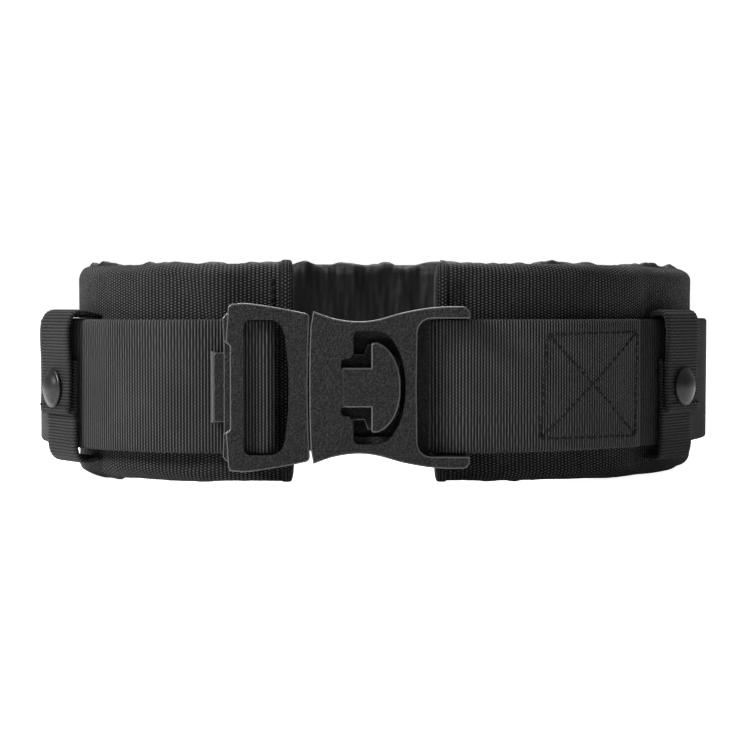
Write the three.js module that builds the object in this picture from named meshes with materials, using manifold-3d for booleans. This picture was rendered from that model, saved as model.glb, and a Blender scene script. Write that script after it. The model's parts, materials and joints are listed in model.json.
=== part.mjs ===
// Padded waist belt: a foam-filled belt pad, 50 mm webbing that runs around it through two
// press-stud keepers, and a centre-release buckle with a webbing adjuster on its male half.
// Millimetres. +X is to the right of someone facing the buckle, -Y is the front and +Z is up.
// The origin is under the middle of the belt, on the plane that its lower edge stands on.
import * as THREE from "three";
import { mergeVertices } from "three/addons/utils/BufferGeometryUtils.js";
import Module from "manifold-3d";

// ---- driving dimensions ----
const LOOP_LEFT = 135; // half widths of the webbing's centreline
const LOOP_RIGHT = 137.5;
const LOOP_DEPTH = 99; // half depth of the webbing's centreline
const WEB_Y = -92.5; // the centreline's front run
const FLAT_LEFT = 62; // the front run is straight between these
const FLAT_RIGHT = 36;
const CURVE_LEFT = 1.9; // superellipse powers of the front quarters and the rear
const CURVE_RIGHT = 1.6;
const CURVE_REAR = 2.2;

const WEB_WIDTH = 49;
const WEB_THICK = 2;
const WEB_MID_Z = 36.7;
const LAYER = 2.3; // spacing of two webbing layers
const CLEAR = 0.3;

const PAD_THICK = 12;
const PAD_TOP = 82;
const PAD_REAR_RISE = 3.5;
const PAD_END_RISE = 1.2;
const PAD_ROUND = 5;
const PAD_LEFT_END = -33; // where the pad ends, at the front
const PAD_RIGHT_END = 25;
const PAD_GAP = { front: 1.6, left: 13, right: 4.2, rear: 6 }; // from the webbing's centreline
const COVER_THICK = 1.2;
const SEAM = 6; // depth of the seam between cover and lining

const BUCKLE_FRONT = -106.5;
const PLATE_THICK = 2.7;
const SLOT_HALF = 24.9; // half the width of the openings that webbing passes through
const BEVEL = 0.5; // on the buckle's outer edges

const KEEPER_WIDTH = 26;
const KEEPER_THICK = 1.6;
const SNAP_Z = 34.8;
const STEPS = 56; // stations along the pad

const wasm = await Module();
wasm.setup();

// ---- the loop that the webbing and the pad follow, clockwise from above ----
const loopMiddle = WEB_Y + LOOP_DEPTH;

function quarter(cornerX, reachX, reachY, power, angles) {
  return angles.map((a) => {
    const c = Math.cos(a) ** (2 / power);
    const s = Math.sin(a) ** (2 / power);
    return new THREE.Vector3(cornerX + reachX * s, loopMiddle + reachY * c, 0);
  });
}

function loopPoints() {
  const count = 14;
  const rise = Array.from({ length: count }, (_, i) => ((i + 0.5) / count) * (Math.PI / 2));
  const fall = [...rise].reverse();
  return [
    new THREE.Vector3(FLAT_RIGHT, WEB_Y, 0),
    new THREE.Vector3((FLAT_RIGHT - FLAT_LEFT) / 2, WEB_Y, 0),
    new THREE.Vector3(-FLAT_LEFT, WEB_Y, 0),
    ...quarter(-FLAT_LEFT, FLAT_LEFT - LOOP_LEFT, -LOOP_DEPTH, CURVE_LEFT, rise),
    new THREE.Vector3(-LOOP_LEFT, loopMiddle, 0),
    ...quarter(0, -LOOP_LEFT, LOOP_DEPTH, CURVE_REAR, fall),
    new THREE.Vector3(0, loopMiddle + LOOP_DEPTH, 0),
    ...quarter(0, LOOP_RIGHT, LOOP_DEPTH, CURVE_REAR, rise),
    new THREE.Vector3(LOOP_RIGHT, loopMiddle, 0),
    ...quarter(FLAT_RIGHT, LOOP_RIGHT - FLAT_RIGHT, -LOOP_DEPTH, CURVE_RIGHT, fall),
  ];
}

const loop = new THREE.CatmullRomCurve3(loopPoints(), true, "centripetal");
loop.arcLengthDivisions = 1200;

// The place on the loop nearest to a point, as a share of its length.
function shareNear(x, y) {
  const target = new THREE.Vector3(x, y, 0);
  let best = 0;
  for (let i = 0; i < 2400; i++) {
    const closer = loop.getPointAt(i / 2400).distanceTo(target);
    if (closer < loop.getPointAt(best).distanceTo(target)) best = i / 2400;
  }
  return best;
}

function frameAt(share) {
  const u = ((share % 1) + 1) % 1;
  const along = loop.getTangentAt(u).normalize();
  const out = new THREE.Vector3(-along.y, along.x, 0);
  return { at: loop.getPointAt(u), along, out };
}

// Places from one share to another, clockwise from above, moved outwards by offset.
function run(from, to, count, offset = 0) {
  const end = to < from ? to + 1 : to;
  return Array.from({ length: count + 1 }, (_, i) => {
    const f = frameAt(from + ((end - from) * i) / count);
    return f.at.clone().addScaledVector(f.out, offset);
  });
}

const smooth = (t) => THREE.MathUtils.smoothstep(t, 0, 1);

// How far the pad's outer face lies inside the webbing's centreline.
function padGap(at) {
  const side = at.x < 0 ? PAD_GAP.left : PAD_GAP.right;
  if (at.y < loopMiddle) {
    const t = (at.y - WEB_Y) / LOOP_DEPTH;
    return THREE.MathUtils.lerp(PAD_GAP.front, side, smooth(t));
  }
  return THREE.MathUtils.lerp(side, PAD_GAP.rear, smooth((at.y - loopMiddle) / LOOP_DEPTH));
}

// ---- shape helpers ----
function solidOf(geometry) {
  if (!geometry.isBufferGeometry) return geometry;
  const bare = geometry.index ? geometry.toNonIndexed() : geometry.clone();
  bare.deleteAttribute("normal");
  bare.deleteAttribute("uv");
  const merged = mergeVertices(bare, 1e-4);
  return new wasm.Manifold(
    new wasm.Mesh({
      numProp: 3,
      vertProperties: merged.attributes.position.array,
      triVerts: new Uint32Array(merged.index.array),
    }),
  );
}

function geometryOf(solid) {
  const mesh = solid.getMesh();
  const geometry = new THREE.BufferGeometry();
  geometry.setAttribute("position", new THREE.BufferAttribute(mesh.vertProperties, 3));
  geometry.setIndex(new THREE.BufferAttribute(mesh.triVerts, 1));
  geometry.computeVertexNormals();
  return geometry;
}

const joined = (...parts) => parts.map(solidOf).reduce((a, b) => a.add(b));

const cut = (body, ...tools) =>
  tools.map(solidOf).reduce((rest, tool) => rest.subtract(tool), solidOf(body));

// A solid through rings of points, closed with flat ends.
function loft(rings, outlines) {
  const size = rings[0].length;
  const positions = rings.flat().flatMap((p) => p.toArray());
  const faces = [];
  for (let i = 0; i + 1 < rings.length; i++) {
    for (let j = 0; j < size; j++) {
      const a = i * size + j;
      const b = i * size + ((j + 1) % size);
      faces.push([a, b, b + size], [a, b + size, a + size]);
    }
  }
  const last = (rings.length - 1) * size;
  const turned = THREE.ShapeUtils.isClockWise(outlines[0]);
  const capOf = (outline) =>
    THREE.ShapeUtils.triangulateShape(outline, []).map(([a, b, c]) =>
      turned ? [c, b, a] : [a, b, c],
    );
  capOf(outlines[0]).forEach(([a, b, c]) => faces.push([c, b, a]));
  capOf(outlines.at(-1)).forEach(([a, b, c]) => faces.push([a + last, b + last, c + last]));
  const volume = faces.reduce((sum, face) => {
    const [p, q, r] = face.map((k) => new THREE.Vector3(...positions.slice(3 * k, 3 * k + 3)));
    return sum + p.dot(q.cross(r));
  }, 0);
  const index = faces.flatMap((face) => (volume < 0 ? [face[0], face[2], face[1]] : face));
  const geometry = new THREE.BufferGeometry();
  geometry.setAttribute("position", new THREE.Float32BufferAttribute(positions, 3));
  geometry.setIndex(index);
  geometry.computeVertexNormals();
  return geometry;
}

// A strip of even thickness along a plan centreline, standing from zLow to zHigh.
function strip(points, thick, zLow, zHigh) {
  const side = points.map((p, i) => {
    const before = points[Math.max(i - 1, 0)];
    const after = points[Math.min(i + 1, points.length - 1)];
    const along = new THREE.Vector2(after.x - before.x, after.y - before.y).normalize();
    return new THREE.Vector2(-along.y, along.x).multiplyScalar(thick / 2);
  });
  const outer = points.map((p, i) => new THREE.Vector2(p.x + side[i].x, p.y + side[i].y));
  const inner = points.map((p, i) => new THREE.Vector2(p.x - side[i].x, p.y - side[i].y));
  const shape = new THREE.Shape([...outer, ...inner.reverse()]);
  return new THREE.ExtrudeGeometry(shape, {
    depth: zHigh - zLow,
    bevelEnabled: false,
    steps: 1,
  }).translate(0, 0, zLow);
}

// A front-view shape (x, z about the webbing's middle) as a plate between two depths behind
// the buckle's front face, with its edges bevelled.
function plate(shape, near, far, bevel = BEVEL, curveSegments = 8) {
  const depth = far - near;
  const geometry = new THREE.ExtrudeGeometry(shape, {
    depth: depth - 2 * bevel,
    bevelEnabled: bevel > 0,
    bevelThickness: bevel,
    bevelSize: bevel,
    bevelOffset: -bevel,
    bevelSegments: 2,
    curveSegments,
  });
  geometry.translate(0, 0, bevel).rotateX(Math.PI / 2);
  return geometry.translate(0, BUCKLE_FRONT + far, WEB_MID_Z);
}

// A box given by its limits in x, in depth behind the buckle's front face, and in height.
function block(x0, x1, near, far, z0, z1) {
  return new THREE.BoxGeometry(x1 - x0, far - near, z1 - z0).translate(
    (x0 + x1) / 2,
    BUCKLE_FRONT + (near + far) / 2,
    WEB_MID_Z + (z0 + z1) / 2,
  );
}

// A closed outline that mirrors its upper half, given from left to right, about z = 0.
function mirroredShape(upper) {
  const lower = upper.map(([x, z]) => [x, -z]).reverse();
  const points = [...lower, ...upper].map(([x, z]) => new THREE.Vector2(x, z));
  const kept = points.filter((p, i) => i === 0 || p.distanceTo(points[i - 1]) > 1e-6);
  if (kept[0].distanceTo(kept[kept.length - 1]) < 1e-6) kept.pop();
  return new THREE.Shape(kept);
}

// Points on a smooth curve through the given ones.
function spline(points, divisions) {
  const curve = new THREE.SplineCurve(points.map(([x, z]) => new THREE.Vector2(x, z)));
  return curve.getPoints(divisions).map((p) => [p.x, p.y]);
}

function arc(x, z, radius, fromDegrees, toDegrees, count = 4) {
  return Array.from({ length: count + 1 }, (_, i) => {
    const a = THREE.MathUtils.degToRad(fromDegrees + ((toDegrees - fromDegrees) * i) / count);
    return [x + radius * Math.cos(a), z + radius * Math.sin(a)];
  });
}

// ---- materials ----
const finish = (color, roughness, metalness = 0) =>
  new THREE.MeshStandardMaterial({ color, roughness, metalness });
const ballistic = finish(0x2c2b29, 0.85);
const liningNylon = finish(0x242422, 0.45);
const foam = finish(0x3a3a3a, 0.95);
const webbing = finish(0x2e2e2c, 0.7);
const acetal = finish(0x262626, 0.5);
const blackMetal = finish(0x3a3c3c, 0.3, 0.9);

const belt = new THREE.Group();

function add(parent, name, shape, material) {
  const geometry = shape.isBufferGeometry ? shape : geometryOf(shape);
  const mesh = new THREE.Mesh(geometry, material);
  mesh.name = name;
  parent.add(mesh);
}

// ---- pad ----
const padFrom = shareNear(PAD_LEFT_END, WEB_Y);
const padTo = shareNear(PAD_RIGHT_END, WEB_Y);

function padStations() {
  const end = padTo < padFrom ? padTo + 1 : padTo;
  return Array.from({ length: STEPS + 1 }, (_, i) => {
    const f = frameAt(padFrom + ((end - padFrom) * i) / STEPS);
    const rear = smooth(f.at.y / LOOP_DEPTH);
    const front = smooth((-f.at.y - 60) / 30);
    return {
      ...f,
      face: f.at.clone().addScaledVector(f.out, -padGap(f.at)),
      low: PAD_END_RISE * front,
      high: PAD_TOP + PAD_REAR_RISE * rear,
    };
  });
}

// The pad's section from one edge seam to the other, over the outer or the inner face, as
// points of (outwards, up). inset moves it into the pad.
function halfSection(station, inner, inset, seam = SEAM) {
  const round = PAD_ROUND - inset;
  const sign = inner ? -1 : 1;
  const centre = inner ? -PAD_THICK + PAD_ROUND : -PAD_ROUND;
  const turn = [90, 60, 30, 0];
  const corner = (z, angles) =>
    angles.map((a) => {
      const r = THREE.MathUtils.degToRad(a);
      return new THREE.Vector2(centre + sign * round * Math.cos(r), z + round * Math.sin(r));
    });
  const top = corner(station.high - PAD_ROUND, turn);
  const bottom = corner(station.low + PAD_ROUND, turn.map((a) => -a).reverse());
  const edge = (z) => new THREE.Vector2(-seam, z);
  return [edge(station.high - inset), ...top, ...bottom, edge(station.low + inset)];
}

const place = (station, section) =>
  section.map((p) =>
    station.face.clone().addScaledVector(station.out, p.x).add(new THREE.Vector3(0, 0, p.y)),
  );

const loftSections = (stations, sectionOf) => {
  const sections = stations.map(sectionOf);
  return loft(stations.map((s, i) => place(s, sections[i])), sections);
};

function skin(stations, inner, seam) {
  return loftSections(stations, (s) => [
    ...halfSection(s, inner, 0, seam),
    ...halfSection(s, inner, COVER_THICK, seam).reverse(),
  ]);
}

function wholeSection(station, inset) {
  const outer = halfSection(station, false, inset).slice(1, -1);
  const inner = halfSection(station, true, inset).slice(1, -1);
  return [...outer, ...inner.reverse()];
}

// A rounded fabric end that closes the pad, just past its last station.
function endFold(station, direction) {
  const steps = [
    [CLEAR, 0],
    [1.6, 0.3],
    [2.6, 1.4],
    [3, 3],
  ];
  const stations = steps.map(([ahead]) => ({
    ...station,
    face: station.face.clone().addScaledVector(station.along, direction * ahead),
  }));
  const sections = steps.map(([, inset]) => wholeSection(station, inset));
  return loft(stations.map((s, i) => place(s, sections[i])), sections);
}

function addPad() {
  const stations = padStations();
  add(belt, "pad_outer_cover", skin(stations, false, SEAM - CLEAR / 2), ballistic);
  add(belt, "pad_inner_lining", skin(stations, true, SEAM + CLEAR / 2), liningNylon);
  add(
    belt,
    "pad_foam_core",
    loftSections(stations, (s) => wholeSection(s, COVER_THICK + CLEAR)),
    foam,
  );
  add(belt, "pad_end_fold_left", endFold(stations[0], -1), ballistic);
  add(belt, "pad_end_fold_right", endFold(stations[stations.length - 1], 1), ballistic);
}

// ---- webbing ----
const webLow = WEB_MID_Z - WEB_WIDTH / 2;
const webHigh = WEB_MID_Z + WEB_WIDTH / 2;
const BAR_TURN_X = 23.5; // where the webbing turns back around the female half's bar
const BAR_TURN_RADIUS = 2.85;
const RETURN_END = { x: 97, y: -61 }; // where the sewn-down layer ends
const TAIL_START_X = -57.5;
const TAIL_END = { x: -134, y: 16 };
const WRAP_START_X = -49.8;
const WRAP_X = -39.5; // the wrap's turn around the adjuster's bar
const WRAP_RADIUS = 2.4;
const WRAP_DEPTH = 6.8; // its middle, behind the buckle's front face
const WRAP_THICK = 1.9;

function mainWebbingLine() {
  const start = shareNear(-40, WEB_Y);
  const flat = shareNear(BAR_TURN_X + 16, WEB_Y);
  const main = run(start, flat, 84);
  main.push(new THREE.Vector3(BAR_TURN_X + 7, WEB_Y, 0));
  const middle = WEB_Y - BAR_TURN_RADIUS;
  const turn = arc(BAR_TURN_X, middle, BAR_TURN_RADIUS, 90, 270, 10);
  main.push(...turn.map(([x, y]) => new THREE.Vector3(x, y, 0)));
  main.push(new THREE.Vector3(BAR_TURN_X + 12, middle - BAR_TURN_RADIUS, 0));
  const back = run(shareNear(RETURN_END.x, RETURN_END.y), shareNear(52, WEB_Y), 12, LAYER);
  return [...main, ...back.reverse()];
}

function wrapLine() {
  const y = BUCKLE_FRONT + WRAP_DEPTH;
  const turn = arc(WRAP_X, y, WRAP_RADIUS, -90, 90, 10);
  return [[WRAP_START_X, y - WRAP_RADIUS], ...turn, [WRAP_START_X, y + WRAP_RADIUS]].map(
    ([x, at]) => new THREE.Vector3(x, at, 0),
  );
}

function addWebbing() {
  add(belt, "main_webbing", strip(mainWebbingLine(), WEB_THICK, webLow, webHigh), webbing);
  const from = shareNear(TAIL_START_X, WEB_Y);
  const to = shareNear(TAIL_END.x, TAIL_END.y);
  add(
    belt,
    "webbing_tail",
    strip(run(from, to, 36, LAYER), WEB_THICK, webLow, webHigh),
    webbing,
  );
  add(belt, "adjuster_webbing_wrap", strip(wrapLine(), WRAP_THICK, webLow, webHigh), webbing);
}

// ---- buckle, female half ----
const TAB_ROOT_X = -12.3;
const SEAM_CENTRE_X = 476.2; // both halves meet along arcs about this point
const SEAM_RADIUS = { housing: 500, frame: 500.4 };

function housingOutline() {
  const top = spline(
    [
      [-22.3, 27.6],
      [-15.2, 25.1],
      [-7.1, 23.9],
      [0.5, 24.5],
      [9.5, 27],
      [18, 28.6],
      [25.4, 29.3],
      [31.6, 29.3],
    ],
    22,
  );
  const left = arc(SEAM_CENTRE_X, 0, SEAM_RADIUS.housing, 180, 177, 6).slice(0, -1);
  const slotCorner = arc(20.4, 19.9, 5, 90, 180, 5);
  return mirroredShape([
    ...left,
    ...top,
    ...arc(31.6, 26.6, 2.7, 78, 0, 4),
    [34.3, SLOT_HALF],
    ...slotCorner,
    [15.2, 8],
    [15.1, 0],
  ]);
}

function tabHole() {
  return mirroredShape([
    [TAB_ROOT_X, 0],
    ...arc(TAB_ROOT_X + 1.6, 8.8, 1.6, 180, 90, 4),
    [-9.4, 10.4],
    [-7.8, 11.9],
    ...arc(-5.7, 18.4, 2.1, 180, 90, 4),
    ...spline(
      [
        [1.1, 20.5],
        [4.8, 18.9],
        [8, 14.6],
        [9.9, 9.9],
        [10.9, 4.2],
        [11.1, 0],
      ],
      14,
    ),
  ]);
}

function tabShape() {
  return mirroredShape([
    [TAB_ROOT_X + CLEAR, 0],
    [TAB_ROOT_X + CLEAR, 7.2],
    [-1.4, 7.2],
    ...arc(-0.5, 15.4, 0.9, 180, 90, 3),
    ...spline(
      [
        [0.9, 16.3],
        [3.6, 14.9],
        [6.4, 11.8],
        [8.3, 7.6],
        [9.2, 3.4],
        [9.3, 0],
      ],
      12,
    ),
  ]);
}

function rectangle(x0, x1, z0, z1, round) {
  return new THREE.Shape(
    [
      ...arc(x0 + round, z0 + round, round, 180, 270, 3),
      ...arc(x1 - round, z0 + round, round, 270, 360, 3),
      ...arc(x1 - round, z1 - round, round, 0, 90, 3),
      ...arc(x0 + round, z1 - round, round, 90, 180, 3),
    ].map(([x, z]) => new THREE.Vector2(x, z)),
  );
}

const TONGUE = { near: 5.2, far: 7.2, tip: 9, half: 12 };
const HOUSING_FLOOR = 8.7;
const HOUSING_BACK = 10.2;
const WEB_BAR = { near: 9.7, far: 12.5, left: 22.5, right: 34 };

function housing() {
  const shell = plate(housingOutline(), 0, HOUSING_BACK, BEVEL);
  const cavity = block(-40, 12.6, PLATE_THICK, HOUSING_FLOOR, -18, 18);
  const tabOpening = plate(tabHole(), -1, PLATE_THICK + 1, 0);
  const ears = [-1, 1].map((side) => {
    const [z0, z1] = side > 0 ? [SLOT_HALF, 28.6] : [-28.6, -SLOT_HALF];
    return plate(rectangle(17.5, 33.8, z0, z1, 1), HOUSING_BACK - 2, WEB_BAR.far, 0.3);
  });
  const bar = plate(
    rectangle(WEB_BAR.left, WEB_BAR.right, -26.2, 26.2, 1.2),
    WEB_BAR.near,
    WEB_BAR.far,
    0.6,
  );
  return cut(joined(shell, ...ears, bar), cavity, tabOpening);
}

// ---- buckle, male half ----
function frameOutline() {
  const top = spline(
    [
      [-49, 30.6],
      [-43.6, 30.2],
      [-33.9, 28.7],
      [-25, 26.9],
    ],
    10,
  );
  const right = arc(SEAM_CENTRE_X, 0, SEAM_RADIUS.frame, 177.1, 180, 6);
  return mirroredShape([
    [-52.4, 0],
    [-52.4, 15],
    [-53.9, 16.4],
    [-53.4, 24],
    ...arc(-51.5, 28.6, 1.6, 176, 94, 4),
    ...top.slice(1),
    ...arc(-24.7, 25.7, 1, 72, 6, 2),
    ...right,
  ]);
}

function frameWindow() {
  return mirroredShape([
    [-47.4, 0],
    ...arc(-45, 22, 2.4, 180, 90, 4),
    ...arc(-37.8, 19.4, 5, 90, 20, 5),
    ...spline(
      [
        [-32.4, 18.2],
        [-31.4, 9],
        [-31.1, 0],
      ],
      6,
    ),
  ]);
}

const ADJUSTER_BAR = { near: 5.65, far: 7.95, left: -46.5, right: -38.5 };
const FRAME_BACK = 10.3;
const LIP = { x: -58.3, depth: 8.2, radius: 1.75, length: 26 }; // the bar that lifts the adjuster

function maleFrame() {
  const face = plate(frameOutline(), 0, 3, BEVEL);
  const window = plate(frameWindow(), -1, 4, 0);
  const rails = [-1, 1].map((side) => {
    const upper = [
      [-55.2, 25.2],
      [-54.9, 17],
      [-53.1, 15.4],
      [-53.1, SLOT_HALF],
      [-25.4, SLOT_HALF],
      [-25.4, 26],
      [-34, 28.1],
      [-44, 29.6],
      [-50.7, 29.6],
      [-52.2, 28.3],
    ];
    const outline = upper.map(([x, z]) => new THREE.Vector2(x, side * z));
    return plate(new THREE.Shape(side > 0 ? outline.reverse() : outline), 2, FRAME_BACK, 0.4);
  });
  const bar = plate(
    rectangle(ADJUSTER_BAR.left, ADJUSTER_BAR.right, -25.4, 25.4, 1.6),
    ADJUSTER_BAR.near,
    ADJUSTER_BAR.far,
    1,
  );
  const endWall = plate(rectangle(-30.6, -25.6, -25.4, 25.4, 0.8), 2, FRAME_BACK - 1.6, 0.3);
  const tongueSlot = block(-28.2, -20, TONGUE.near - 0.4, TONGUE.far + 0.6, -12.6, 12.6);
  const crossBar = plate(rectangle(-54.7, -51.9, -25.2, 25.2, 0.6), 2.2, 6.4, 0.3);
  const lipWeb = plate(rectangle(-58.6, -52.5, -12.6, 12.6, 1), 4.6, 8.4, 0.3);
  const lip = new THREE.CylinderGeometry(LIP.radius, LIP.radius, LIP.length, 16)
    .rotateX(Math.PI / 2)
    .translate(LIP.x, BUCKLE_FRONT + LIP.depth, WEB_MID_Z);
  const wrapRoom = block(-51.4, -36, 3.3, FRAME_BACK + 1, -SLOT_HALF, SLOT_HALF);
  const body = joined(cut(joined(face, endWall), window, tongueSlot, wrapRoom), ...rails);
  return joined(body, bar, crossBar, lipWeb, lip);
}

const TONGUE_ROOT_X = -27; // where the tongue leaves the frame and flexes

// The sprung tongue that the housing holds, with two hooks at its tip.
function tongue() {
  const shape = mirroredShape([
    [TONGUE_ROOT_X - 0.8, 0],
    [TONGUE_ROOT_X - 0.8, TONGUE.half],
    [-4, TONGUE.half],
    [-2.6, 15.6],
    [2.4, 15.6],
    [TONGUE.tip, 9.5],
    [TONGUE.tip, 0],
  ]);
  return plate(shape, TONGUE.near, TONGUE.far, 0.4);
}

function addBuckle() {
  add(belt, "female_housing", housing(), acetal);
  add(belt, "release_tab", plate(tabShape(), 0, PLATE_THICK, 0.6), acetal);
  add(belt, "male_frame", maleFrame(), acetal);
  add(belt, "latch_tongue", tongue(), acetal);
}

// ---- keepers: a lower band, a flap over it, and a press stud that joins them ----
// Distances outwards from the webbing's outer face.
const OUT = {
  postNear: 0.3,
  postFar: 1,
  band: 2.1,
  studNear: 3.2,
  studFar: 4.1,
  socketNear: 4.4,
  socketFar: 5.3,
  flap: 6.4,
  capNear: 7.5,
  capFar: 10,
};
const FLAP_ROOT_Z = 63.4;
const FLAP_LOW = 25;
const BAND_ROOT_Z = 8;
const BAND_HIGH = 46;

// A band of even thickness through points of (outwards, up), as wide as a keeper.
function band(station, line) {
  const points = new THREE.CatmullRomCurve3(
    line.map(([x, y]) => new THREE.Vector3(x, y, 0)),
    false,
    "centripetal",
  ).getPoints(3 * line.length);
  const frame = new THREE.Matrix4()
    .makeBasis(station.out, new THREE.Vector3(0, 0, 1), station.along)
    .setPosition(station.at);
  return strip(points, KEEPER_THICK, -KEEPER_WIDTH / 2, KEEPER_WIDTH / 2).applyMatrix4(frame);
}

// A round press-stud piece from a profile of (radius, outwards).
function round(station, profile, segments) {
  const up = new THREE.Vector3(0, 0, 1);
  const frame = new THREE.Matrix4()
    .makeBasis(up, station.out, station.along.clone().negate())
    .setPosition(station.at.clone().setZ(SNAP_Z));
  const points = profile.map(([r, y]) => new THREE.Vector2(r, y));
  return new THREE.LatheGeometry(points, segments).applyMatrix4(frame);
}

const disc = (radius, near, far) => [
  [0, near],
  [radius, near],
  [radius, far],
  [0, far],
];

function addKeeper(side, station, face) {
  const root = 1.7 - padGap(station.at);
  const hang = face + OUT.flap;
  const rise = face + OUT.band;
  const flapLine = [
    [root, FLAP_ROOT_Z],
    [(root + hang) / 2 - 2, FLAP_ROOT_Z + 0.3],
    [hang - 4.5, FLAP_ROOT_Z - 0.3],
    [hang - 1.2, FLAP_ROOT_Z - 3.6],
    [hang, FLAP_ROOT_Z - 9],
    [hang, FLAP_ROOT_Z - 24],
    [hang, FLAP_LOW],
  ];
  const bandLine = [
    [root, BAND_ROOT_Z],
    [(root + rise) / 2, BAND_ROOT_Z - 0.5],
    [rise - 2.3, BAND_ROOT_Z + 0.3],
    [rise - 0.5, BAND_ROOT_Z + 2.6],
    [rise, BAND_ROOT_Z + 8],
    [rise, BAND_ROOT_Z + 22],
    [rise, BAND_HIGH],
  ];
  const cap = [
    [0, face + OUT.capNear],
    [6.6, face + OUT.capNear],
    [7.4, face + OUT.capNear + 0.5],
    [7.2, face + OUT.capNear + 1.1],
    [5.4, face + OUT.capFar - 0.6],
    [2.8, face + OUT.capFar - 0.1],
    [0, face + OUT.capFar],
  ];
  const socket = [
    [0, face + OUT.socketFar - 0.4],
    [2.9, face + OUT.socketFar - 0.4],
    [2.9, face + OUT.socketNear],
    [5.2, face + OUT.socketNear],
    [5.6, face + OUT.socketFar],
    [0, face + OUT.socketFar],
  ];
  add(belt, side + "_keeper_flap", band(station, flapLine), webbing);
  add(belt, side + "_keeper_band", band(station, bandLine), webbing);
  add(belt, side + "_snap_cap", round(station, cap, 32), blackMetal);
  add(belt, side + "_snap_socket", round(station, socket, 24), blackMetal);
  const studProfile = disc(2.4, face + OUT.studNear, face + OUT.studFar);
  add(belt, side + "_snap_stud", round(station, studProfile, 24), blackMetal);
  const postProfile = disc(4.2, face + OUT.postNear, face + OUT.postFar);
  add(belt, side + "_snap_post", round(station, postProfile, 24), blackMetal);
}

function addKeepers() {
  const single = WEB_THICK / 2;
  addKeeper("left", frameAt(shareNear(-114, -57)), LAYER + single);
  addKeeper("right", frameAt(shareNear(118, -44)), single);
}

// ---- plain sewn loops that hold the webbing to the rear of the pad ----
function addRearLoops() {
  const rise = WEB_THICK / 2 + 0.4 + KEEPER_THICK / 2;
  for (const [side, x] of [
    ["left", -62],
    ["right", 62],
  ]) {
    const station = frameAt(shareNear(x, 100));
    const root = 1.7 - padGap(station.at);
    const line = [
      [root, webHigh + 4],
      [rise - 1.4, webHigh + 3],
      [rise, webHigh],
      [rise, WEB_MID_Z],
      [rise, webLow],
      [rise - 1.4, webLow - 3],
      [root, webLow - 4],
    ];
    add(belt, "rear_loop_" + side, band(station, line), webbing);
  }
}

addPad();
addWebbing();
addBuckle();
addKeepers();
addRearLoops();

export default belt;
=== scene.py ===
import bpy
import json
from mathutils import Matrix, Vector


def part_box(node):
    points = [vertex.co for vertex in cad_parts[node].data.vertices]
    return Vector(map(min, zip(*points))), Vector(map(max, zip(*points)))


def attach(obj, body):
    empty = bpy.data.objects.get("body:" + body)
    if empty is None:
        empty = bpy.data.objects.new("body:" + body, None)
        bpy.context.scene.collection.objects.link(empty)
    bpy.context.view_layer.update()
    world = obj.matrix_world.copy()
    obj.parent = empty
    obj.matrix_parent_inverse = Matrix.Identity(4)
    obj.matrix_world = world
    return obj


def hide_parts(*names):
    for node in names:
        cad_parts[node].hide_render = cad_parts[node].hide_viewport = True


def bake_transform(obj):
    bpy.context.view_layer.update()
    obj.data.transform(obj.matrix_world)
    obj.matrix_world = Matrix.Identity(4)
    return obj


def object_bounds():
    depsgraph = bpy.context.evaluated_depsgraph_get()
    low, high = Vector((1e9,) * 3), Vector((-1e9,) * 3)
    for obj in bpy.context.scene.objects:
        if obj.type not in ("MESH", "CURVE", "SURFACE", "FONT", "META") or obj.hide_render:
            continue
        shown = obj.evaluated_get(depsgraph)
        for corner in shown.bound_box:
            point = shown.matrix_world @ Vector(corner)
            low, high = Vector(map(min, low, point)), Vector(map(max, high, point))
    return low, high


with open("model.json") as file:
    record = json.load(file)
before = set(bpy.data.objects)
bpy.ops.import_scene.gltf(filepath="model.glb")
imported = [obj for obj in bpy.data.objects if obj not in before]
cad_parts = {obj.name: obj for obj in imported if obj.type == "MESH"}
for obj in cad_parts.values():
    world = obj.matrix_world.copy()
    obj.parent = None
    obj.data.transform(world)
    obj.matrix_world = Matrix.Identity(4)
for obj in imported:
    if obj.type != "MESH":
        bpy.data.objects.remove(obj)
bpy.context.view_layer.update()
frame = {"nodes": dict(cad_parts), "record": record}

import json
import math
import random

import bpy
import numpy as np
from mathutils import Vector
from mathutils.bvhtree import BVHTree

random.seed(7)

# A padded waist belt with a buckle. Metres, with +Z up and the buckle towards -Y. The CAD gives
# the place of everything; these are the sizes and places that its solids don't state.
MM = 0.001
UP = Vector((0, 0, 1))
WEB_WIDTH = 49 * MM
WEB_THICK = 1.9 * MM
LAYER = 2.3 * MM  # spacing of two webbing layers
RIB = 1.17 * MM  # spacing of the webbing's ribs
STRAP_START_X = -40 * MM  # where the strap starts, behind the adjuster
TAIL_START_X = -50 * MM
RUN_END_X = 45 * MM  # where the strap leaves the body's curve for the housing
RETURN_START_X = 52 * MM  # where the layer that comes back from the housing joins that curve
SEWN_END = (99.5 * MM, -61 * MM)  # where that layer ends
KEEPER_WIDTH = 25.4 * MM
KEEPER_THICK = 1.6 * MM
PAD_THICK = 12 * MM
PAD_EDGE = 5 * MM  # radius of the pad's long edges
PAD_STEP = 4 * MM  # along the pad, before its surface is refined
HALF_SECTION = 25  # points of the pad's section from its top seam to its bottom seam
FINE = 3  # refined steps in each step of the pad

low = Vector(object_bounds()[0])
nodes = frame["nodes"]
joints = {j["name"]: j for j in frame["record"]["behaviour"]["joints"]}


# ---- measuring the CAD ----
def tree(name):
    o = nodes[name]
    points = [o.matrix_world @ v.co for v in o.data.vertices]
    return BVHTree.FromPolygons(points, [tuple(p.vertices) for p in o.data.polygons])


trees = {name: tree(name) for name in nodes}


def hit(name, origin, direction):
    return trees[name].ray_cast(Vector(origin), Vector(direction).normalized())[0]


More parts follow.
